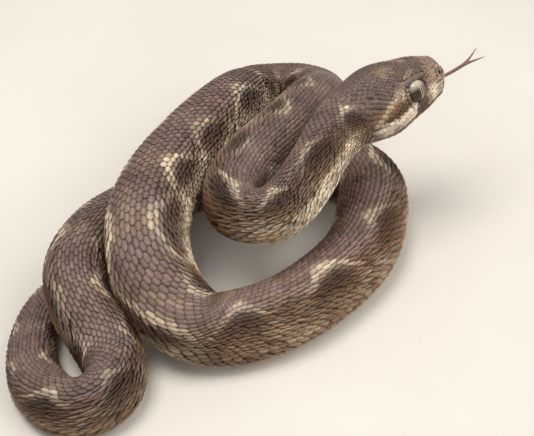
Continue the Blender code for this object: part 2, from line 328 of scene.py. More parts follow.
    def read(self, table, s, turn):
        """A table's value at stations and angles, blended from the four nearest."""
        row, column = np.clip(s, 0, self.length) / self.STEP, np.mod(turn, 360) / self.TURN
        i = np.minimum(row.astype(int), len(self.s) - 2)
        j = np.minimum(column.astype(int), int(360 / self.TURN) - 1)
        down, across = np.clip(row - i, 0, 1), column - j
        if table.ndim == 3:
            down, across = down[..., None], across[..., None]
        near, far = (table[k, j] * (1 - across) + table[k, j + 1] * across for k in (i, i + 1))
        return near * (1 - down) + far * down

    def at(self, s, turn, lift=0.0):
        """Points over the hide. Before the snout and past the tail's tip they close over the end."""
        s, turn, lift = np.broadcast_arrays(np.asarray(s, float), turn, lift)
        point = self.read(self.points, s, turn)
        normal = unit(self.read(self.normal, s, turn))
        for end, sign, past in ((0, -1, -s), (-1, 1, s - self.length)):
            share = np.clip(past / END_ARC, 0, 1)[..., None] * math.pi / 2
            ahead = self.forth[end] * sign
            core = self.core[end]
            shut = core + (point - core) * np.cos(share) + ahead * END_BULGE * np.sin(share)
            closing = past[..., None] > 0
            point = np.where(closing, shut, point)
            normal = np.where(closing, unit(normal * np.cos(share) + ahead * np.sin(share)), normal)
        return point + normal * lift[..., None]

    def nearest(self, point):
        """Station and angle of the point on the head nearest a place."""
        rows = int(HEAD_REACH / self.STEP)
        away = gap(self.points[:rows], point)
        i, j = np.unravel_index(np.argmin(away), away.shape)
        turn = j * self.TURN
        return self.s[i], turn - 360 if turn > 180 else turn

    def per_degree(self, s, turn):
        """Mm round the body for each degree."""
        return self.read(self.arc, s, turn)

    def round_to(self, s, turn):
        """Mm round the body from the back to an angle."""
        return self.reach[int(round(s / self.STEP)), int(turn / self.TURN)]

    def turn_at(self, s, distance):
        """The angle that lies a distance round the body from the back, in mm, for each station."""
        rows = np.clip((s / self.STEP).round().astype(int), 0, len(self.s) - 1)
        turns = np.arange(self.reach.shape[1]) * self.TURN
        found = [np.interp(abs(mm), self.reach[row], turns) for mm, row in zip(distance, rows)]
        return np.sign(distance) * np.array(found)


STRIPS = 3  # the unwrap lays the body out in this many strips
STRIP_MARGIN = 0.01  # free at each edge of a strip


def bake_place(hide, s, turn, more_s=0.0, more_turn=0.0):
    """Where a point of the hide lies on its unwrap; more_s and more_turn lead on from it."""
    strip = hide.length / STRIPS
    row = np.clip(np.floor(s / strip), 0, STRIPS - 1)
    across = (s + more_s - row * strip) / strip
    upward = (np.mod(turn + 180, 360) + more_turn) / 360
    used = 1 - 2 * STRIP_MARGIN
    return np.stack([STRIP_MARGIN + used * across, (row + STRIP_MARGIN + used * upward) / STRIPS], -1)


RIPPLE_SIZES = (23.0, 11.0, 6.0, 3.4)  # mm from crest to crest
ONE_TURN = 6.28  # radians


def ripple(s, turn, seed):
    """A soft random wave over the body, from about -1 to 1."""
    draw = np.random.default_rng(seed)
    made = 0
    for size in RIPPLE_SIZES:
        phase = draw.uniform(0, ONE_TURN, 3)
        lengthwise = np.sin(s / size * ONE_TURN + phase[0] + 1.7 * np.sin(turn / 29 + phase[1]))
        made = made + lengthwise * np.cos(turn / (size * 2.2) + phase[2]) * 0.32
    return made


def blend(base, other, amount):
    """One colour over another: amount is 0 for the base and 1 for the other."""
    amount = np.clip(amount, 0, 1)[..., None]
    return base * (1 - amount) + other * amount


class Paint:
    """Colours laid one over another on an even ground."""

    def __init__(self, ground, shape):
        self.colour = np.broadcast_to(ground, shape + (3,))

    def __call__(self, colour, amount):
        self.colour = blend(self.colour, colour, amount)


# How the markings and the painted shade change along the body: mm from the snout, and a length in mm or a
# share.
ARC_SPACING = [(20, 10.5), (60, 11.5), (150, 14), (230, 18), (300, 14), (380, 10.5), (460, 8)]
ARC_VIVID = [(32, 0.75), (44, 1.4), (62, 1.4), (72, 0.6), (130, 0.6), (142, 1), (215, 1), (235, 0.85),
             (330, 0.9), (360, 0.7)]
# The share of each arc's dark blotch: halved at the top turn as painted light, because that fold lies deep
# in shade.
SHADOW_SHARE = [(112, 1), (122, 0.5), (146, 0.5), (156, 1)]
# Painted shade and light along the body: a share of brightness at each station, below 1 on most of it and
# above 1 on the lower coil from 235 to 275 mm.
PAINTED_SHADE = [(20, 0.72), (140, 0.70), (165, 0.86), (215, 0.88), (235, 1.04), (275, 1.06), (300, 0.88),
         (345, 0.82), (385, 0.80), (395, 0.70)]


def body_colour(s, turn):
    """The markings of neck, trunk and tail at stations and angles, with a painted shade and light along the
    body.
    """
    back = wrapped(turn - along(ROLL, s))
    side = np.abs(back)
    under = np.abs(wrapped(turn - along(BELLY_ROLL, s)))
    gaps = s[..., None] - np.array(ARCS)
    nearest = np.argmin(np.abs(gaps), -1)
    spacing = along(ARC_SPACING, s)
    x = np.take_along_axis(gaps, nearest[..., None], -1)[..., 0] / spacing * 15
    away = np.abs(x - 0.4)
    soft = ripple(s, turn, 3)
    fine = ripple(s * 2.1, turn * 2.3, 5)
    grey = smooth(s, 62, 72) * smooth(s, 106, 96)
    pale = smooth(s, 100, 125) * smooth(s, 222, 208)

    # The back: clouded, with a faint pale patch at each arc, and brown flanks below it, their brown partly
    # their own and partly painted shade and warm bounce light.
    paint = Paint(TAUPE, s.shape)
    paint(PLUM, 0.70 * smooth(ripple(s * 0.7, turn, 21), 0.0, 0.8))
    paint(UMBER, 0.65 * smooth(ripple(s * 0.9, turn, 34), 0.1, 0.8))
    paint(DARKER, 0.34 * smooth(ripple(s * 1.4, turn * 1.3, 55), 0.25, 0.85))
    paint(BUFF, 0.35 * hump(x + 0.5, 3.2) * hump(side, 15))
    paint(DARK, 0.30 * hump(np.abs(x) - 5.6, 1.6) * hump(side, 20))
    paint(FLANK, smooth(side, 46, 66) * (1 - 0.85 * grey))
    paint(BUFF, 0.4 * grey * smooth(side, 46, 66))

    # A dark blotch lies under each pale arc, weakened at the top turn as painted light on its shaded fold.
    shadow = hump(x - 0.6, 5.0) * smooth(side, 42, 50) * smooth(side, 92, 66) * along(SHADOW_SHARE, s)
    paint(DARKER, 0.82 * shadow)
    paint(DARK, 0.35 * hump(np.abs(x) - 4.5, 2.2) * hump(side - 34, 9))
    crest = 36 + 5.2 * np.maximum(away - 1.0, 0) ** 1.05
    arc = hump(side - crest, 6.0 + 2.5 * hump(x - 0.4, 2.0)) * smooth(away, 6.8, 4.6)
    lively = (0.78 + 0.35 * np.sin(nearest * 2.4 + 1.3 * np.sign(back))) * along(ARC_VIVID, s)
    strong = np.clip((0.24 + 0.85 * hump(x - 0.2, 2.6) + 0.26 * smooth(x, 0.5, 3)) * lively, 0, 1)
    paint(CREAM, arc * strong * (1.05 + 0.2 * fine))

    # The lower flanks are sandy, the sand partly painted shade, with pale rows, pale bars and dark spots.
    paint(SAND, 0.42 * smooth(side, 80, 98) * (0.7 + 0.5 * fine))
    paint(CREAM, np.clip((0.10 + 0.85 * pale) * hump(side - 99, 17) * (0.75 + 0.7 * fine), 0, 0.9))
    paint(BUFF, 0.5 * smooth(side, 90, 108) * smooth(s, 215, 235) * (0.7 + 0.8 * fine))
    bars = hump(np.abs(x) - 6.4, 1.8) * smooth(side, 56, 70)
    paint(CREAM, (0.16 + 0.34 * pale) * bars * (0.8 + 0.8 * fine))
    spots = smooth(np.sin(s / spacing * 4 * math.pi + 0.8) + 0.6 * fine, 0.7, 1.3) * hump(side - 100, 9)
    paint(DARK, 0.45 * spots)

    # The neck is cream along its lower side, and the belly is white with a few specks.
    neck = smooth(s, 58, 40) * smooth(s, 21, 30) * smooth(under, 73, 91)
    paint(CREAM, neck * np.clip(0.75 + 0.6 * fine, 0, 1))
    paint(WHITE, smooth(under, LOWEST_ROW - 9, LOWEST_ROW + 1))
    paint(DARK, 0.6 * smooth(fine + soft, 0.55, 0.95) * smooth(under, 100, 110))
    # Painted shade and light: all colours but the neck's cream are scaled by the station's share.
    depth = along(PAINTED_SHADE, s)
    depth = depth + (1 - depth) * neck
    return paint.colour * (depth * (1 + 0.07 * soft))[..., None]


def head_colour(hide, s, turn):
    """The markings of the head at stations and angles."""
    side = np.abs(turn)
    fine = ripple(s * 5, turn * 3.1, 9)

    # The snout and the side before the eye are pinkish.
    paint = Paint(SLATE, s.shape)
    paint(PINK, smooth(s, 5.2, 3.2) * (0.45 + 0.5 * smooth(side, 10, 30)))
    lore = smooth(side, 44, 58) * smooth(s, 7.6, 6.2)
    paint(PINK, 0.55 * lore)
    paint(CREAM, 0.45 * lore * smooth(side, 62, 84) * smooth(s, 6.2, 5.0))

    # A sandy cheek, with a cream band over a dark stripe from the eye to the jaw's corner.
    cheek = smooth(side, 50, 62) * smooth(s, 8.0, 10.0)
    paint(SAND, cheek * (0.75 + 0.25 * fine))
    band = hump(side - 51 - (s - 12.6) * 4.6, 6.5) * smooth(s, 10.4, 11.6)
    paint(CREAM, 0.62 * band * (0.8 + 0.5 * fine))
    stripe = hump(side - 72 - (s - 11.6) * 2.9, 5.5) * smooth(s, 9.8, 11.2)
    paint(DARKER, 0.72 * stripe)
    paint(CREAM, 0.6 * hump(np.hypot((s - 10.6) / 1.3, (side - 56) / 10), 1))

    # The crown has a light streak slanting back on each side, a light nape and dark patches behind it.
    streak = hump(side - 18 - (s - 7.5) * 7.2, 6.5) * smooth(s, 6.0, 7.4) * smooth(s, 11.6, 10)
    paint(BUFF, 0.75 * streak)
    nape = hump(np.hypot((s - 12) / 1.9, (side - 5) / 7), 1)
    paint(BUFF, 0.6 * nape * (0.8 + 0.6 * fine))
    paint(DARK, 0.35 * hump(s - 15.5, 2.6) * hump(side - 22, 12) * (0.8 + 0.7 * fine))

    # White lips, blotched under the eye, and a white chin with a mottled edge.
    patch = hump(s - 3.5, 1.1) * smooth(side, 72, 80)
    paint(WHITE, np.maximum(patch, smooth(side, 82, 87) * smooth(s, 7.9, 8.7)))
    blotch = np.maximum(hump(s - 6.0, 1.0), 0.7 * hump(s - 7.3, 0.7))
    paint(DARKER, smooth(side, 86, 91) * 0.85 * blotch)
    paint(SAND, smooth(side, LIP, LIP + 3) * 0.8)
    paint(WHITE, smooth(side, 116, 126) * 0.9)
    mottle = hump(s - 14.4, 1.5) * hump(side - 100, 5.5) + 0.7 * hump(s - 12.4, 0.7) * hump(side - 101, 5)
    paint(DARKER, 0.8 * mottle * (0.85 + 0.5 * fine))
    paint(DARKER, 0.7 * hump(s - 12.6, 2.2) * hump(side - 112, 6))
    paint(DARK, 0.6 * hump(s - 5.6, 0.9) * hump(side - 111, 6))

    # Painted shade: a dark rim where the hide meets each eye, and near-black in each nostril's pit.
    place = hide.at(s, turn)
    for sign in (-1, 1):
        paint(DARKER, 0.7 * hump(gap(place, hide.eye(sign)) - EYE_RADIUS + 0.1, 0.3))
        paint(NOSTRIL_SHADE, smooth(gap(place, hide.nostril(sign)), 0.75, 0.45))
    return paint.colour * (1 + 0.06 * fine)[..., None]


def colour_at(hide, s, turn):
    """The markings anywhere: the head's pass into the body's behind the jaws."""
    return blend(head_colour(hide, s, turn), body_colour(s, turn), smooth(s, 16.0, 23.0))


def skin_colour(hide, s, turn):
    """The same markings on the skin between the scales, darkened, but hardly at the lips."""
    lip = smooth(np.abs(turn), 80, 88) * smooth(s, MOUTH_CORNER + 2, MOUTH_CORNER) * smooth(s, 1.0, 2.0)
    return blend(colour_at(hide, s, turn), FLESH, 0.56 - 0.36 * lip)


def grid_mesh(name, points, faces, colours, places, finish):
    """A mesh in metres from points in mm, with its colours at the points and its unwrap at the corners."""
    mesh = bpy.data.meshes.new(name)
    mesh.from_pydata((points * MM).tolist(), [], faces)
    marks = mesh.color_attributes.new("Markings", "FLOAT_COLOR", "POINT")
    opaque = np.column_stack([colours, np.ones(len(colours))])
    marks.data.foreach_set("color", opaque.astype(np.float32).ravel())
    unwrap = mesh.uv_layers.new(name="OFBake")
    unwrap.data.foreach_set("uv", places.astype(np.float32).ravel())
    mesh.shade_smooth()
    mesh.materials.append(finish)
    made = bpy.data.objects.new(name, mesh)
    bpy.context.scene.collection.objects.link(made)
    return made


ACROSS = (-1, -0.78, -0.32, 0, 0.32, 0.78, 1.0)
DOWN = (0, 0.14, 0.36, 0.6, 0.82, 0.95, 1.0)
TIP_HALF = 0.14  # half width left at the tip


class Plate:
    """The form of one scale as a grid of points: u from side to side and v from root to tip, closed below.

    root is its width at the root, widest where it is full, blunt how broad its tip is, border where its
    edge begins, and grain how mottled it is.
    """

    def __init__(self, root, widest, blunt, across=ACROSS, down=DOWN, border=0.78, grain=0.10):
        v = np.array(down)
        self.border, self.grain = border, grain
        grow = root + (1 - root) * smooth(v, 0, widest)
        ease = np.clip((v - widest) / (1 - widest), 0, 1)
        taper = (1 - ease**2.4) ** (1 / blunt)
        self.half = np.where(v < widest, grow, np.maximum(taper, TIP_HALF))
        self.u, self.v = np.meshgrid(across, v)
        self.dome = (1 - self.u**2) * np.sin(np.clip(self.v * 1.02, 0, 1) * math.pi) ** 0.6
        self.rim = np.clip(1 - np.abs(self.u) ** 5, 0, 1) * np.clip((1 - self.v) / 0.05, 0, 1)
        self.keel = hump(self.u, 0.30) * smooth(self.v, 0.05, 0.3) * smooth(self.v, 1.0, 0.84)
        n = len(across)
        self.count = n * len(v)
        last = self.count - n
        self.faces = []
        for a in range(0, last, n):
            self.faces += [(k, k + n, k + n + 1, k + 1) for k in range(a, a + n - 1)]
            self.faces.append((a, a + n - 1, a + 2 * n - 1, a + n))
        self.faces.append(tuple(range(n)))
        self.faces.append(tuple(range(last + n - 1, last - 1, -1)))


LEAF = Plate(0.74, 0.44, 2.1)
LANCE = Plate(0.60, 0.36, 1.35)
BEAD = Plate(0.62, 0.5, 2.2)
TILE = Plate(0.94, 0.3, 4.0)
BROW = Plate(0.50, 0.42, 1.7, np.linspace(-1, 1, 21), np.linspace(0, 1, 33), border=0.45, grain=0.34)
SHIELD = Plate(0.99, 0.5, 6.0, (-1, -0.92, -0.72, -0.5, -0.25, 0, 0.25, 0.5, 0.72, 0.92, 1),
               (0, 0.35, 0.8, 0.95, 1))
MOST_SCALES = 1500  # in one piece
SCALE_ON_UNWRAP = 0.003


class Scales:
    """Many scales of one form, laid over the hide and joined into a few pieces."""

    def __init__(self, hide, form):
        self.hide = hide
        self.form = form
        self.rows = []

    def lay(self, s, turn, long, wide, lean=0.0, tip=0.6, dome=0.2, keel=0.0, rim=0.2, hidden=0.2,
            pale=0.0, tint=1.0, seam=1.0):
        """Adds scales: long in mm along the body, wide as half their width in degrees, lean in degrees.

        tip, dome, keel and rim are heights as shares of the coat's depth, and hidden is the share of its
        length that lies before its station. pale paints a highlight along its keel and shades the rest of
        it, tint lightens all of it, and seam darkens its edge and its root's painted shadow.
        """
        facts = (s, turn, long, wide, lean, tip, dome, keel, rim, hidden, pale, tint, seam)
        self.rows.append(np.column_stack([np.broadcast_to(fact, np.shape(s)) for fact in facts]))

    def build(self, name, finish):
        """The laid scales as pieces, from the snout to the tail."""
        rows = np.concatenate(self.rows)
        rows = rows[np.argsort(rows[:, 0], kind="stable")]
        parts = math.ceil(len(rows) / MOST_SCALES)
        return [self.piece(f"{name}_{i + 1}" if parts > 1 else name, part, finish)
                for i, part in enumerate(np.array_split(rows, parts))]

    def piece(self, name, rows, finish):
        hide, form = self.hide, self.form
        s, turn, long, wide, lean, tip, dome, keel, rim, hidden, pale, tint, seam = (
            column[:, None, None] for column in rows.T)

        # Where each point lies, and how high: less where the skin is pressed together in a bend.
        step = hide.per_degree(s, turn)
        down = (form.v - hidden) * long
        out = form.u * form.half[:, None] * wide * step
        turned = np.radians(lean)
        at_s = s + (down * np.cos(turned) - out * np.sin(turned))
        at_turn = turn + (down * np.sin(turned) + out * np.cos(turned)) / step
        room = gap(hide.at(s + 0.5, turn), hide.at(s - 0.5, turn))
        height = -0.10 + (tip + 0.10) * form.v + dome * form.dome + keel * form.keel - rim * (1 - form.rim)
        lift = along(COAT, s) * np.clip(room, 0.25, 1) * height
        points = hide.at(at_s, at_turn, lift)

        # One colour for each scale, with a dark edge (partly a dark seam, partly painted shade where the rim
        # and tip fall away), a root darkened as a painted shadow of the scale over it, a painted highlight
        # along the keel and a fine grain.
        base = colour_at(hide, rows[:, 0] + rows[:, 2] * (0.55 - rows[:, 9]), rows[:, 1])
        warmth = np.random.default_rng(11).normal(0, 1, (len(rows), 1)) * seam[:, :, 0]
        base = base * tint[:, :, 0] * (1 + warmth * (0.045, 0.0, -0.055))
        edge = 1 - 0.66 * smooth(np.abs(form.u), form.border, 1.0) - 0.50 * smooth(form.v, 0.92, 1.0)
        # The root darkened as a painted shadow of the scale that overlaps it.
        edge = np.clip(edge * (0.40 + 0.60 * smooth(form.v, 0.05, 0.30)), 0.15, 1)
        edge = 1 - (1 - edge) * seam
        # A painted highlight along the keel, with the rest of the scale shaded a little.
        keel_highlight = 1 + pale * (1.35 * form.keel * (0.4 + 0.6 * form.v) - 0.30)
        grain = 1 + form.grain * ripple(at_s * 8, at_turn * 4, 13)
        colours = base[:, None, None] * (edge * keel_highlight * grain)[..., None]

        root = bake_place(hide, rows[:, 0], rows[:, 1])
        spread = np.stack([form.v - 0.5, form.u / 2], -1) * SCALE_ON_UNWRAP
        places = (root[:, None, None] + spread).reshape(-1, 2)
        faces = [tuple(start + k for k in face)
                 for start in range(0, len(rows) * form.count, form.count) for face in form.faces]
        corners = np.concatenate(faces)
        return grid_mesh(name, points.reshape(-1, 3), faces, colours.reshape(-1, 3), places[corners], finish)


# Mm from one scale to the next in its row.
PITCH = [(20, 1.22), (50, 1.30), (90, 1.42), (185, 1.45), (205, 1.28), (222, 1.34), (245, 1.74), (290, 1.80),
         (320, 1.60), (380, 1.50), (420, 1.35), (460, 1.0)]
# Rows from the back, and their degrees from it: broad on the back, narrow on the flank.
ROW_PLACES = [(0, 0), (5, 41), (9, 65.5), (14, 92.5), (16.5, 107.5), (19, 124.5), (32, 212)]
MOST_ROWS = 31  # to each side
# How much wider the rows are toward the tail's tip.
ROW_SPREAD = [(395, 1), (410, 1.12), (430, 1.35), (450, 1.8), (467, 2.3)]
# How far the belly's edge is turned up, in degrees: only along the neck.
BELLY_ROLL = [(0, 0), (14, -2), (22, -14), (30, -24), (38, -30), (46, -22), (54, -8), (64, 0)]
FLANK_LEAN = 13  # degrees by which the flank's scales slant downward
LOWEST_ROW = 126.0  # degrees from the back to the lowest row of the flank
SHIELD_HALF = 187 - LOWEST_ROW  # degrees
BODY_START = 21.0  # mm from the snout to the first keeled row


def twist_at(hide, s, turn):
    """Degrees by which the rows run aslant where the back rolls over."""
    slope = (along(ROLL, s + 1.0) - along(ROLL, s - 1.0)) / 2
    return np.degrees(np.arctan(slope * hide.per_degree(s, turn)))


def lay_body(hide, leaves, lances):
    """Keeled scales in rows, blunt on the back and narrow and aslant on the flanks."""
    s, step = BODY_START, 0
    draw = np.random.default_rng(5)
    row = np.arange(-MOST_ROWS, MOST_ROWS + 1)
    while s < hide.length - 0.6:
        back = along(ROW_PLACES, np.abs(row)) * np.sign(row) * along(ROW_SPREAD, s)
        spacing = np.gradient(back)
        under = wrapped(along(ROLL, s) + back - along(BELLY_ROLL, s))
        keep = ((row + step) % 2 == 0) & (np.abs(under) < LOWEST_ROW) & (np.abs(back) < 215)
        back, spacing, under = back[keep], spacing[keep], np.abs(under[keep])
        ends = smooth(s, 24, 40) * smooth(s, 452, 430)
        slant = smooth(np.abs(back), 28, 52) * smooth(under, 118, 100) * ends
        low = smooth(under, 104, 118)
        stations = s + draw.normal(0, 0.06 + 0.07 * slant)
        turn = along(ROLL, s) + back + draw.normal(0, 0.3 + 0.3 * slant)
        lean = twist_at(hide, stations, turn) + FLANK_LEAN * slant * np.sign(back)
        lean = lean + draw.normal(0, 2.0 + 2.5 * slant)
        tint = draw.normal(1, 0.12, len(back))
        for scales, form in ((leaves, slant < 0.5), (lances, slant >= 0.5)):
            aslant, near_belly = slant[form], low[form]
            # pale sets the painted highlight along each keel: strongest on the flank and near the belly.
            scales.lay(
                stations[form], turn[form],
                along(PITCH, s) * (1.36 + 0.44 * aslant + 0.05 * near_belly),
                spacing[form] * (0.70 + 0.03 * aslant),
                lean=lean[form], tip=0.64 + 0.36 * aslant, dome=0.14 - 0.06 * aslant,
                keel=0.28 + 0.24 * aslant - 0.2 * near_belly, rim=0.12,
                pale=0.36 + 0.72 * aslant + 0.2 * near_belly, tint=tint[form], seam=0.50 + 0.42 * aslant,
            )
        s += along(PITCH, s) / 2
        step += 1


def lay_belly(hide, shields):
    """One wide shield after another under the neck, the trunk and the tail."""
    s = BODY_START - 1.5
    while s < hide.length - 0.4:
        pitch = along(PITCH, s) * 1.15
        shields.lay(np.array([s]), along(BELLY_ROLL, s) + 180, 1.3 * pitch, SHIELD_HALF, tip=0.62, dome=0.0)
        s += pitch


# The small scales of the head: mm from the snout, then mm across or mm from row to row.
CROWN_WIDE = [(0, 0.80), (4, 0.80), (9, 0.84), (14, 1.02), (20, 1.5)]
CROWN_PITCH = [(0, 0.42), (4, 0.42), (9, 0.46), (14, 0.62), (20, 0.80)]
THROAT_WIDE = [(1, 1.3), (20, 1.7)]
THROAT_PITCH = [(1, 0.75), (20, 0.95)]
# How far down the sides they go, in degrees from the back.
CROWN_EDGE = [(0, 86), (2, 93), (MOUTH_CORNER - 1.5, 95), (MOUTH_CORNER + 1.5, 118)]
EYE_MARGIN = 0.80  # mm kept free round each eye for its ring of scales
NOSTRIL_MARGIN = 0.85


def row_across(reach, wide, step):
    """Places round the body as far as reach to both sides, each second row half a scale on."""
    count = int(reach / wide) + 1
    across = (np.arange(-count, count + 1) + 0.5 * (step % 2)) * wide
    return across[np.abs(across) < reach]


def lay_crown(hide, beads):
    """Small grainy scales over the snout, the crown and the cheeks, larger toward the neck."""
    s, step = 0.12, 0
    draw = np.random.default_rng(8)
    kept_free = [(hide.eye(side), EYE_RADIUS + EYE_MARGIN) for side in (-1, 1)]
    kept_free += [(hide.nostril(side), NOSTRIL_MARGIN) for side in (-1, 1)]
    while s < BODY_START + 0.6:
        wide, pitch = along(CROWN_WIDE, s), along(CROWN_PITCH, s)
        across = row_across(hide.round_to(s, along(CROWN_EDGE, s)), wide, step)
        stations = s + draw.normal(0, 0.10, len(across)) * wide
        turn = along(ROLL, stations) + hide.turn_at(stations, across)
        turn = turn + draw.normal(0, 0.09, len(across)) * wide / hide.per_degree(stations, turn)
        place = hide.at(stations, turn)
        clear = ~under_brow(stations, turn)
        for centre, radius in kept_free:
            clear &= gap(place, centre) > radius
        stations, turn = stations[clear], turn[clear]
        behind = smooth(s, 9, 15)
        wide = wide * 0.52 / hide.per_degree(stations, turn)
        beads.lay(stations, turn, pitch * (2.25 + 0.45 * behind), wide, lean=twist_at(hide, stations, turn),
                  tip=0.62 + 0.2 * behind, dome=0.62 - 0.42 * behind, keel=0.10 + 0.22 * behind, rim=0.16,
                  hidden=0.12 + 0.18 * behind, pale=0.12, seam=0.55,
                  tint=draw.normal(1, 0.10, len(stations)))
        s += pitch
        step += 1


def lay_throat(hide, tiles):
    """Smooth scales under the chin and the throat."""
    s, step = 1.2, 0
    while s < BODY_START - 0.5:
        wide, pitch = along(THROAT_WIDE, s), along(THROAT_PITCH, s)
        edge = 123 if s < MOUTH_CORNER else 116
        across = row_across(hide.round_to(s, 180) - hide.round_to(s, edge), wide, step)
        stations = np.full(len(across), s)
        turn = 180 + along(ROLL, stations) + across / hide.per_degree(stations, np.full(len(across), 180.0))
        tiles.lay(stations, turn, pitch * 2.5, wide * 0.52 / hide.per_degree(stations, turn),
                  lean=twist_at(hide, stations, turn), hidden=0.25)
        s += pitch
        step += 1


def lay_lips(hide, tiles):
    """The scales of the upper and lower lips, and the front plates of the snout."""
    for side in (-1, 1):
        for start, short, number, turn, wide, tip, dome in (
                (0.15, 0.8, 13, 100.0, 5.4, 0.42, 0.3), (0.9, 0.6, 11, 114.5, 8.2, 0.30, 0.2)):
            edges = np.linspace(start, MOUTH_CORNER - short, number)
            tiles.lay(edges[:-1], side * turn, np.diff(edges) * 1.3, wide, tip=tip, dome=dome, rim=0.05,
                      hidden=0.1, seam=0.1)
    tiles.lay(np.full(4, -1.2), (0, -83, 83, 180), 1.25, (58, 20, 20, 66), tip=0.5, dome=0.3, hidden=0.0)


BROW_START, BROW_LONG = 4.6, 5.4  # mm
BROW_TURN, BROW_HALF = 35.5, 7.0  # degrees


def under_brow(s, turn):
    """True where a brow plate covers the crown."""
    share = (s - BROW_START) / BROW_LONG
    half = BROW_HALF * np.where(share < 0.35, 0.75 + 0.7 * share, 1.0 - 0.4 * (share - 0.35))
    return (share > 0.02) & (share < 0.92) & (np.abs(np.abs(turn) - BROW_TURN - 3 * share) < half)


def lay_brows(hide, brows):
    """The one large rough plate over each eye, broad in front and narrow behind, pale at its edge."""
    for side in (-1, 1):
        brows.lay(np.array([BROW_START]), side * BROW_TURN, BROW_LONG, BROW_HALF, lean=side * 2.5,
                  tip=0.55, dome=0.65, rim=0.1, hidden=0.0, tint=1.35, seam=-0.9)


def lay_ring(hide, beads, centre, radius, number, size, tint):
    """Small scales set round a place on the head, each found by walking outward from the middle."""
    middle_s, middle_turn = hide.nearest(centre)
    side = 1 if middle_turn > 0 else -1
    step = hide.per_degree(np.array([middle_s]), np.array([middle_turn]))[0]
    walk = np.arange(0.0, 5.0, 0.02)
    for k in range(number):
        angle = 2 * math.pi * (k + 0.5) / number
        s = middle_s + walk * math.cos(angle)
        turn = middle_turn + side * walk * math.sin(angle) / step
        found = int(np.argmax(gap(hide.at(s, turn), centre) > radius))
        if found == 0 or under_brow(s[found], turn[found]):
            continue
        beads.lay(s[found:found + 1], turn[found], size * 1.1, 0.52 * size / step,
                  lean=side * math.degrees(angle), tip=0.8, dome=0.6, hidden=0.4, tint=tint, seam=0.7)


def lay_rings(hide, beads):
    """Two rings of small scales round each eye and one round each nostril."""
    for side in (-1, 1):
        lay_ring(hide, beads, hide.eye(side), EYE_RADIUS + 0.24, 21, 0.62, 1.08)
        lay_ring(hide, beads, hide.eye(side), EYE_RADIUS + 0.60, 23, 0.74, 1.05)
        lay_ring(hide, beads, hide.nostril(side), 0.72, 7, 0.5, 1.1)


HEAD_RING = 0.3  # mm from ring to ring of the skin on the head
BODY_RING = 1.25
HEAD_END = 24.0  # mm from the snout


def make_skin(hide, finish):
    """The one skin under the scales, closed over the snout and the tail's tip."""
    s = np.concatenate([
        np.linspace(-END_ARC, 0, 7)[1:-1],
        np.arange(0, HEAD_END, HEAD_RING),
        np.linspace(HEAD_END, hide.length, int((hide.length - HEAD_END) / BODY_RING)),
        np.linspace(hide.length, hide.length + END_ARC, 6)[1:-1],
    ])
    turn = np.arange(0, 360, hide.TURN)
    rows, sides = len(s), len(turn)
    grid_s, grid_turn = np.meshgrid(s, turn, indexing="ij")
    points = hide.at(grid_s, grid_turn).reshape(-1, 3)
    colours = skin_colour(hide, grid_s, np.where(grid_turn > 180, grid_turn - 360, grid_turn)).reshape(-1, 3)
    ends = hide.at(np.array([-END_ARC, hide.length + END_ARC]), np.zeros(2))
    points = np.concatenate([points, ends])
    colours = np.concatenate([colours, colours[[0, -1]]])
    faces, corners = [], []

    def add(face, i, j, places):
        """Adds a face, with its corners' places on the unwrap counted from the middle of its square."""
        faces.append(face)
        half_s, half_turn = (s[i + 1] - s[i]) / 2, hide.TURN / 2
        corners.extend((s[i] + half_s, turn[j] + half_turn, a * half_s, b * half_turn) for a, b in places)

    for i in range(rows - 1):
        for j in range(sides):
            k = (j + 1) % sides
            face = (i * sides + j, (i + 1) * sides + j, (i + 1) * sides + k, i * sides + k)
            add(face, i, j, ((-1, -1), (1, -1), (1, 1), (-1, 1)))
    last = (rows - 1) * sides
    for j in range(sides):
        k = (j + 1) % sides
        add((rows * sides, j, k), 0, j, ((-1.6, 0), (-1, -1), (-1, 1)))
        add((rows * sides + 1, last + k, last + j), rows - 2, j, ((1.6, 0), (1, 1), (1, -1)))
    places = bake_place(hide, *np.array(corners).T)
    return grid_mesh("snake_skin", points, faces, colours, places, finish)


def ink(red, green, blue):
    """A display colour, 0 to 255, for a shader's socket."""
    return (*tone(red, green, blue), 1)


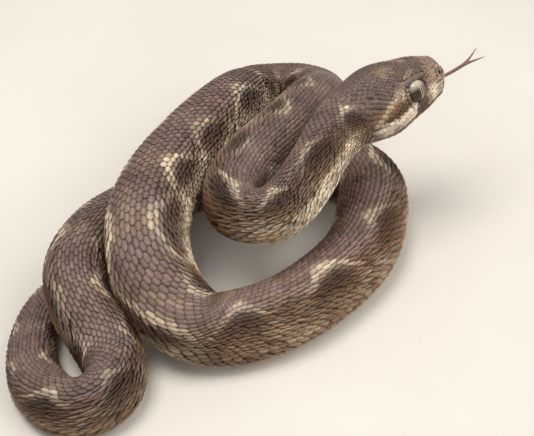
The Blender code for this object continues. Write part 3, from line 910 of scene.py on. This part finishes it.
class Finish:
    """A material built node by node round one Principled shader, in the object's own coordinates."""

    def __init__(self, name, **sockets):
        self.material = bpy.data.materials.new(name)
        self.material.use_nodes = True
        self.tree = self.material.node_tree
        self.shader = self.tree.nodes["Principled BSDF"]
        for socket, value in sockets.items():
            self.shader.inputs[socket].default_value = value
        self.place = self.tree.nodes.new("ShaderNodeTexCoord").outputs["Object"]

    def put(self, source, socket):
        """Links a source to a socket, or sets the socket to a value."""
        if isinstance(source, (int, float, tuple)):
            socket.default_value = source
        else:
            self.tree.links.new(source, socket)

    def node(self, kind, sources=(), **settings):
        """A new node with its settings, and with what goes into its sockets."""
        made = self.tree.nodes.new("ShaderNode" + kind)
        for key, value in settings.items():
            setattr(made, key, value)
        for socket, source in dict(sources).items():
            self.put(source, made.inputs[socket])
        return made

    def noise(self, scale, detail=3.0, rough=0.5):
        """Soft noise: scale is in waves per metre."""
        sources = {"Vector": self.place, "Scale": scale, "Detail": detail, "Roughness": rough}
        return self.node("TexNoise", sources).outputs["Fac"]

    def span(self, value, low, high, to_low, to_high):
        """A value taken from one range to another, and kept inside it."""
        sources = {"Value": value, "From Min": low, "From Max": high, "To Min": to_low, "To Max": to_high}
        return self.node("MapRange", sources).outputs["Result"]

    def sum(self, operation, one, other=0.0):
        return self.node("Math", {0: one, 1: other}, operation=operation).outputs["Value"]

    def mix(self, amount, one, other, way="MIX"):
        """Two colours mixed: they are the node's inputs 6 and 7 and its output 2."""
        sources = {"Factor": amount, 6: one, 7: other}
        return self.node("Mix", sources, data_type="RGBA", blend_type=way).outputs[2]

    def cloud(self, scale, detail, one, other):
        """Two colours clouded into each other."""
        return self.mix(self.span(self.noise(scale, detail), 0.3, 0.7, 0, 1), ink(*one), ink(*other))

    def paint(self, colour):
        self.put(colour, self.shader.inputs["Base Color"])

    def bump(self, height, strength, distance):
        made = self.node("Bump", {"Height": height, "Strength": strength, "Distance": distance})
        self.put(made.outputs["Normal"], self.shader.inputs["Normal"])


def scale_finish(name, rough, fine):
    """Dry horn: the markings, a fine mottle over them and a faint grain."""
    made = Finish(name, IOR=1.45)
    marks = made.node("Attribute", attribute_name="Markings")
    mottle = made.span(made.noise(2100, 4, 0.65), 0.3, 0.7, 0.72, 1.22)
    grey = made.node("CombineColor", {0: mottle, 1: mottle, 2: mottle})
    made.paint(made.mix(1.0, marks.outputs["Color"], grey.outputs["Color"], "MULTIPLY"))
    roughness = made.span(made.noise(2600, 2), 0.3, 0.7, rough - 0.09, rough + 0.09)
    made.put(roughness, made.shader.inputs["Roughness"])
    made.bump(made.noise(fine, 3, 0.6), 0.35, 0.00006)
    return made.material


# The pupil, in shares of the eye's radius.
SLIT_AHEAD = 0.16
SLIT_HALF = 0.055
SLIT_SHORT = 1.6  # above 1, the slit is shorter than the eye is high


def eye_finish():
    """A wet clear spectacle over a silvery iris with an upright slit: the pale upper part is partly the
    iris's own tone and partly a painted reflection of the sky, the slit's pale border is a painted glint,
    and the dark rim is painted shade.
    """
    made = Finish("eye_spectacle", Roughness=0.07, IOR=1.38)
    face = made.node("UVMap", uv_map="Iris")
    split = made.node("SeparateXYZ", {0: face.outputs["UV"]})
    x = made.span(split.outputs["X"], 0, 1, -1, 1)
    y = made.span(split.outputs["Y"], 0, 1, -1, 1)
    speckle = made.span(made.noise(4200, 5, 0.7), 0.35, 0.65, 0, 1)
    lower = made.mix(speckle, ink(44, 34, 24), ink(72, 58, 42))
    front = made.mix(speckle, ink(88, 77, 62), ink(122, 110, 93))
    # The upper part: partly the iris's own pale tone, partly a painted reflection of the sky.
    upper = made.mix(speckle, ink(168, 158, 140), ink(202, 193, 176))
    iris = made.mix(made.span(x, 0.0, 0.35, 0, 1), lower, front)
    height = made.sum("SUBTRACT", y, made.sum("MULTIPLY", x, 0.15))
    iris = made.mix(made.span(height, 0.12, 0.62, 0, 1), iris, upper)
    away = made.sum("SQRT", made.sum("ADD", made.sum("MULTIPLY", x, x), made.sum("MULTIPLY", y, y)))
    # A dark rim at the eye's edge: painted shade.
    iris = made.mix(made.span(away, 0.80, 0.98, 0, 1), iris, ink(36, 27, 20))
    beside = made.sum("SUBTRACT", x, SLIT_AHEAD)
    tall = made.sum("MULTIPLY", y, SLIT_SHORT)
    wide = made.sum("MULTIPLY", made.sum("SUBTRACT", 1.0, made.sum("MULTIPLY", tall, tall)), SLIT_HALF)
    off = made.sum("SUBTRACT", made.sum("ABSOLUTE", beside), wide)
    # A pale border beside the slit: a painted glint.
    colour = made.mix(made.span(off, 0.02, 0.10, 1, 0), iris, ink(196, 188, 164))
    made.paint(made.mix(made.span(off, -0.02, 0.02, 1, 0), colour, ink(20, 15, 12)))
    return made.material


def tongue_finish():
    """Dull reddish flesh."""
    made = Finish("tongue_flesh", Roughness=0.5, IOR=1.4)
    made.paint(made.cloud(1500, 3, (104, 70, 64), (136, 98, 90)))
    made.bump(made.noise(6000, 2), 0.3, 0.00004)
    return made.material


def floor_finish():
    """Pale matt board."""
    made = Finish("studio_floor", Roughness=0.75)
    made.paint(made.cloud(14, 4, (214, 208, 198), (222, 217, 208)))
    made.bump(made.noise(900, 3), 0.15, 0.0002)
    return made.material


def deselect():
    """An operator acts on all that is selected, so each piece starts from nothing."""
    for chosen in bpy.context.selected_objects:
        chosen.select_set(False)


def settle(name, finish):
    """Names the active piece, puts its place into its mesh and gives it its finish."""
    made = bpy.context.object
    made.name = made.data.name = name
    bpy.ops.object.transform_apply()
    bpy.ops.object.shade_smooth()
    made.data.materials.clear()
    made.data.materials.append(finish)
    return made


def make_eye(hide, name, side, finish):
    """A ball under its clear spectacle, with the iris mapped round the line of sight."""
    deselect()
    centre = Vector(hide.eye(side) * MM)
    bpy.ops.mesh.primitive_uv_sphere_add(segments=56, ring_count=36, radius=EYE_RADIUS * MM * 0.995,
                                         location=centre)
    ball = settle(name, finish)
    _, forth, right, up = hide.frame(EYE_STATION)
    gaze = Vector(unit(right * side - forth * 0.22 + up * 0.55))
    ahead = (Vector(-forth) - gaze * gaze.dot(Vector(-forth))).normalized()
    over = ahead.cross(gaze)
    if over.dot(Vector(up)) < 0:
        over.negate()
    iris = ball.data.uv_layers.new(name="Iris")
    for loop in ball.data.loops:
        point = (ball.data.vertices[loop.vertex_index].co - centre) / (EYE_RADIUS * MM)
        iris.data[loop.index].uv = (0.5 + point.dot(ahead) / 2, 0.5 + point.dot(over) / 2)
    return ball


def tongue_point(hide, ahead, side, rise):
    """A point some mm in front of the snout, to its side, and over the gap of the lips."""
    point, forth, right, up = hide.frame(0)
    return (point - forth * ahead + right * side + up * (TONGUE_HEIGHT + rise)) * MM


def tongue_strand(points, radii):
    """One tapering strand as a bevelled curve, made a mesh."""
    deselect()
    bpy.ops.curve.primitive_nurbs_path_add(location=(0, 0, 0))
    strand = bpy.context.object
    curve = strand.data
    curve.splines.clear()
    line = curve.splines.new("NURBS")
    line.points.add(len(points) - 1)
    for knot, point, radius in zip(line.points, points, radii):
        knot.co = (*point, 1)
        knot.radius = radius
    line.use_endpoint_u = True
    line.order_u = 3
    curve.bevel_depth = MM
    curve.bevel_resolution = 4
    curve.use_fill_caps = True
    bpy.ops.object.convert(target="MESH")
    return bpy.context.object


# The tongue's two tines: mm from the snout, mm to the side, mm thick from the middle.
TINE = [(4.8, 0, 0.34), (5.4, 0.12, 0.32), (6.2, 0.35, 0.27), (7.6, 0.9, 0.17), (9.1, 1.67, 0.07)]
STEM = (-2.2, -1, 0, 1, 2, 3, 4, 5, 5.6)  # mm from the snout
STEM_RADIUS = 0.36
TONGUE_CURL = 0.02  # mm of rise for each square mm
TONGUE_GRAIN = 0.07  # mm from point to point of its mesh


def make_tongue(hide, finish):
    """The forked tongue put out past the lip, its strands grown into one."""
    stem = [tongue_point(hide, t, 0, TONGUE_CURL * max(t, 0) ** 2) for t in STEM]
    strands = [tongue_strand(stem, [STEM_RADIUS] * len(STEM))]
    for side in (-1, 1):
        tine = [tongue_point(hide, t, side * out, TONGUE_CURL * t**2) for t, out, _ in TINE]
        strands.append(tongue_strand(tine, [radius for _, _, radius in TINE]))
    deselect()
    for strand in strands:
        strand.select_set(True)
    bpy.context.view_layer.objects.active = strands[0]
    bpy.ops.object.join()
    tongue = settle("forked_tongue", finish)
    grown = tongue.modifiers.new("grown", "REMESH")
    grown.mode = "VOXEL"
    grown.voxel_size = TONGUE_GRAIN * MM
    grown.use_smooth_shade = True
    tongue.modifiers.new("soft", "SMOOTH").iterations = 4
    for modifier in ("grown", "soft"):
        bpy.ops.object.modifier_apply(modifier=modifier)
    return tongue


def add_object(name, data):
    """A lamp or a camera put into the scene, turned by a quaternion."""
    made = bpy.data.objects.new(name, data)
    bpy.context.scene.collection.objects.link(made)
    made.rotation_mode = "QUATERNION"
    return made


CAMERA_RISE = 42.0  # degrees over the floor
CAMERA_AWAY = 296.7  # mm
CAMERA_AIM = (-CENTRE[0], -CENTRE[1], 12.0)


def make_camera():
    """A long lens that looks down on the coils from the front."""
    rise = math.radians(CAMERA_RISE)
    back = Vector((0, -math.cos(rise), math.sin(rise)))
    data = bpy.data.cameras.new("view")
    data.lens = 100
    data.sensor_width = 36
    data.clip_start, data.clip_end = 0.01, 20
    camera = add_object("view", data)
    camera.rotation_quaternion = back.to_track_quat("Z", "Y")
    camera.location = (Vector(CAMERA_AIM) + back * CAMERA_AWAY) * MM
    bpy.context.scene.camera = camera


def make_lamp(name, place, size, power, colour):
    """A round lamp aimed at the middle: place and size in metres, power in watts."""
    data = bpy.data.lights.new(name, "AREA")
    data.shape = "DISK"
    data.size = size
    data.energy = power
    data.color = colour
    lamp = add_object(name, data)
    lamp.location = place
    lamp.rotation_quaternion = Vector(place).to_track_quat("Z", "Y")


def make_studio():
    """A plain pale floor, a soft sky and large soft lamps."""
    scene = bpy.context.scene
    deselect()
    bpy.ops.mesh.primitive_plane_add(size=2.4, location=(0, 0, 0))
    floor = bpy.context.object
    floor.name = floor.data.name = "studio_floor"
    floor.data.materials.append(floor_finish())
    world = bpy.data.worlds.new("sky")
    world.use_nodes = True
    sky = world.node_tree.nodes["Background"]
    sky.inputs["Color"].default_value = (1.0, 0.985, 0.96, 1)
    sky.inputs["Strength"].default_value = 0.56
    scene.world = world
    make_lamp("key", (-0.16, -0.06, 0.62), 0.34, 2.55, (1.0, 0.97, 0.93))
    make_lamp("fill", (0.38, -0.10, 0.50), 0.5, 1.5, (1.0, 0.98, 0.96))
    scene.view_settings.view_transform = "Standard"


FLESH_NODES = ("head", "lower_jaw", "neck", "trunk_", "tail_")  # what the one skin stands for


def main():
    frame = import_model()
    hide = Hide()

    skin_finish = scale_finish("skin_between_scales", 0.7, 5200)
    horn = scale_finish("scale_horn", 0.52, 5200)
    smooth_horn = scale_finish("smooth_scale_horn", 0.40, 2600)
    pieces = [make_skin(hide, skin_finish)]
    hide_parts(*(node for node in frame["nodes"] if node.startswith(FLESH_NODES)))

    forms = (LEAF, LANCE, BEAD, SHIELD, BROW, TILE)
    leaves, lances, beads, shields, brows, tiles = (Scales(hide, form) for form in forms)
    lay_body(hide, leaves, lances)
    lay_crown(hide, beads)
    lay_rings(hide, beads)
    lay_belly(hide, shields)
    lay_brows(hide, brows)
    lay_lips(hide, tiles)
    lay_throat(hide, tiles)
    pieces += leaves.build("body_scales", horn)
    pieces += lances.build("flank_scales", horn)
    pieces += beads.build("head_scales", horn)
    pieces += shields.build("belly_shields", smooth_horn)
    pieces += brows.build("brow_plates", horn)
    pieces += tiles.build("lip_scales", smooth_horn)
    for piece in pieces:
        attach(piece, "root")

    clear = eye_finish()
    for name, side in (("eye_left", -1), ("eye_right", 1)):
        ball = make_eye(hide, f"{name}_ball", side, clear)
        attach(ball, "root")
        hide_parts(name)
    tongue = make_tongue(hide, tongue_finish())
    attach(tongue, "root")
    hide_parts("tongue")

    make_studio()
    make_camera()


main()
